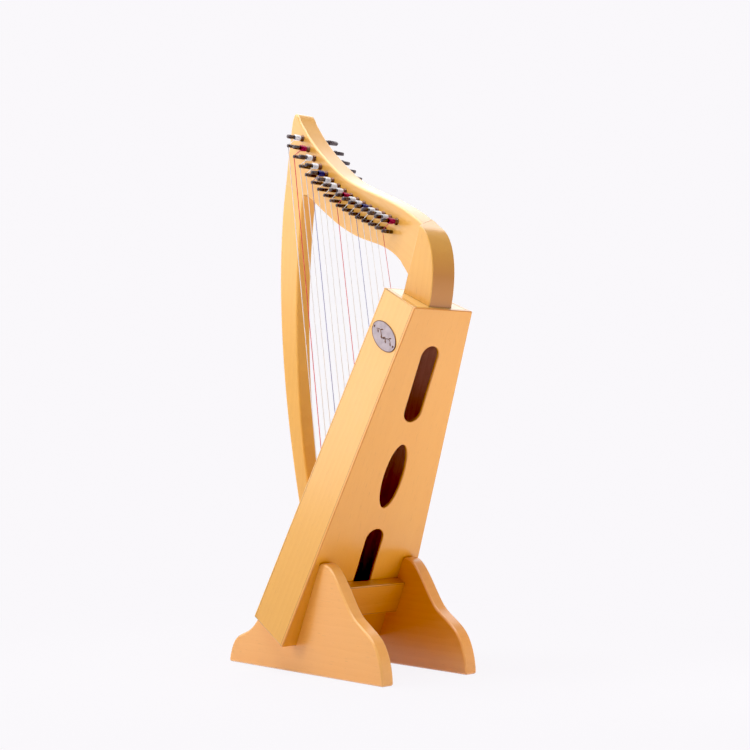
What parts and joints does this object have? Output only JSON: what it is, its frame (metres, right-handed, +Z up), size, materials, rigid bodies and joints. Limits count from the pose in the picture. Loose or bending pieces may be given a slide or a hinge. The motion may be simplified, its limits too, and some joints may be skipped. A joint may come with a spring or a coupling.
{
  "type": "lap harp",
  "caption": "Small lever-less lap harp on a cradle stand: tapered sound box, bowed pillar, curved neck with turning tuning pins, strings in clear, blue and red",
  "frame": {"origin": "on the floor, below the middle of the harp's overall length and width", "axes": "+Z up, +X to the player's side (sound box back), -X to the pillar, -Y the string side of the neck"},
  "size_m": [0.3032, 0.1938, 0.6836],
  "materials": {
    "maple": "glossy honey lacquer",
    "soundboard_wood": "glossy honey lacquer",
    "inner_wood": "raw",
    "rail_wood": "satin lacquer",
    "brass": "polished",
    "steel": "zinc plated",
    "dark_steel": "blued",
    "pin_steel": "blued",
    "badge_metal": "satin nickel",
    "string_clear": "nylon",
    "string_blue": "nylon",
    "string_red": "nylon"
  },
  "bodies": {
    "harp": {"foot_left": "maple", "foot_right": "maple", "stand_bar": "maple", "stand_dowels": "inner_wood", "soundboard": "soundboard_wood", "back_panel": "maple", "side_left": "maple", "side_right": "maple", "top_plate": "maple", "bottom_plate": "maple", "linings": "inner_wood", "soundboard_braces": "inner_wood", "base_block": "inner_wood", "inner_rail": "inner_wood", "string_rail": "rail_wood", "string_eyelets": "brass", "shoulder_block": "maple", "neck": "maple", "pillar": "maple", "frame_dowels": "inner_wood", "pillar_screws": "steel", "shoulder_screws": "steel", "badge": "badge_metal", "badge_pins": "dark_steel", "pin_collars": "dark_steel", "bridge_pins": "dark_steel", "strings_clear": "string_clear", "strings_blue": "string_blue", "strings_red": "string_red", "string_knots": "string_clear"},
    "pin_01": {"tuning_pin_01": "pin_steel"},
    "pin_02": {"tuning_pin_02": "pin_steel"},
    "pin_03": {"tuning_pin_03": "pin_steel"},
    "pin_04": {"tuning_pin_04": "pin_steel"},
    "pin_05": {"tuning_pin_05": "pin_steel"},
    "pin_06": {"tuning_pin_06": "pin_steel"},
    "pin_07": {"tuning_pin_07": "pin_steel"},
    "pin_08": {"tuning_pin_08": "pin_steel"},
    "pin_09": {"tuning_pin_09": "pin_steel"},
    "pin_10": {"tuning_pin_10": "pin_steel"},
    "pin_11": {"tuning_pin_11": "pin_steel"},
    "pin_12": {"tuning_pin_12": "pin_steel"},
    "pin_13": {"tuning_pin_13": "pin_steel"},
    "pin_14": {"tuning_pin_14": "pin_steel"},
    "pin_15": {"tuning_pin_15": "pin_steel"},
    "pin_16": {"tuning_pin_16": "pin_steel"}
  },
  "joints": [
    {"name": "tune_01", "type": "hinge", "parent": "harp", "child": "pin_01", "pos_m": [-0.08858, 0, 0.6505], "axis": [0, 1, 0], "continuous": true},
    {"name": "tune_02", "type": "hinge", "parent": "harp", "child": "pin_02", "pos_m": [-0.07712, 0, 0.63581], "axis": [0, 1, 0], "continuous": true},
    {"name": "tune_03", "type": "hinge", "parent": "harp", "child": "pin_03", "pos_m": [-0.06566, 0, 0.62266], "axis": [0, 1, 0], "continuous": true},
    {"name": "tune_04", "type": "hinge", "parent": "harp", "child": "pin_04", "pos_m": [-0.05419, 0, 0.6109], "axis": [0, 1, 0], "continuous": true},
    {"name": "tune_05", "type": "hinge", "parent": "harp", "child": "pin_05", "pos_m": [-0.04272, 0, 0.60041], "axis": [0, 1, 0], "continuous": true},
    {"name": "tune_06", "type": "hinge", "parent": "harp", "child": "pin_06", "pos_m": [-0.03126, 0, 0.59105], "axis": [0, 1, 0], "continuous": true},
    {"name": "tune_07", "type": "hinge", "parent": "harp", "child": "pin_07", "pos_m": [-0.01979, 0, 0.58269], "axis": [0, 1, 0], "continuous": true},
    {"name": "tune_08", "type": "hinge", "parent": "harp", "child": "pin_08", "pos_m": [-0.00832, 0, 0.57519], "axis": [0, 1, 0], "continuous": true},
    {"name": "tune_09", "type": "hinge", "parent": "harp", "child": "pin_09", "pos_m": [0.00315, 0, 0.56843], "axis": [0, 1, 0], "continuous": true},
    {"name": "tune_10", "type": "hinge", "parent": "harp", "child": "pin_10", "pos_m": [0.01462, 0, 0.56226], "axis": [0, 1, 0], "continuous": true},
    {"name": "tune_11", "type": "hinge", "parent": "harp", "child": "pin_11", "pos_m": [0.02609, 0, 0.55655], "axis": [0, 1, 0], "continuous": true},
    {"name": "tune_12", "type": "hinge", "parent": "harp", "child": "pin_12", "pos_m": [0.03756, 0, 0.55118], "axis": [0, 1, 0], "continuous": true},
    {"name": "tune_13", "type": "hinge", "parent": "harp", "child": "pin_13", "pos_m": [0.04903, 0, 0.546], "axis": [0, 1, 0], "continuous": true},
    {"name": "tune_14", "type": "hinge", "parent": "harp", "child": "pin_14", "pos_m": [0.06049, 0, 0.54088], "axis": [0, 1, 0], "continuous": true},
    {"name": "tune_15", "type": "hinge", "parent": "harp", "child": "pin_15", "pos_m": [0.07196, 0, 0.53569], "axis": [0, 1, 0], "continuous": true},
    {"name": "tune_16", "type": "hinge", "parent": "harp", "child": "pin_16", "pos_m": [0.08342, 0, 0.5303], "axis": [0, 1, 0], "continuous": true}
  ]
}
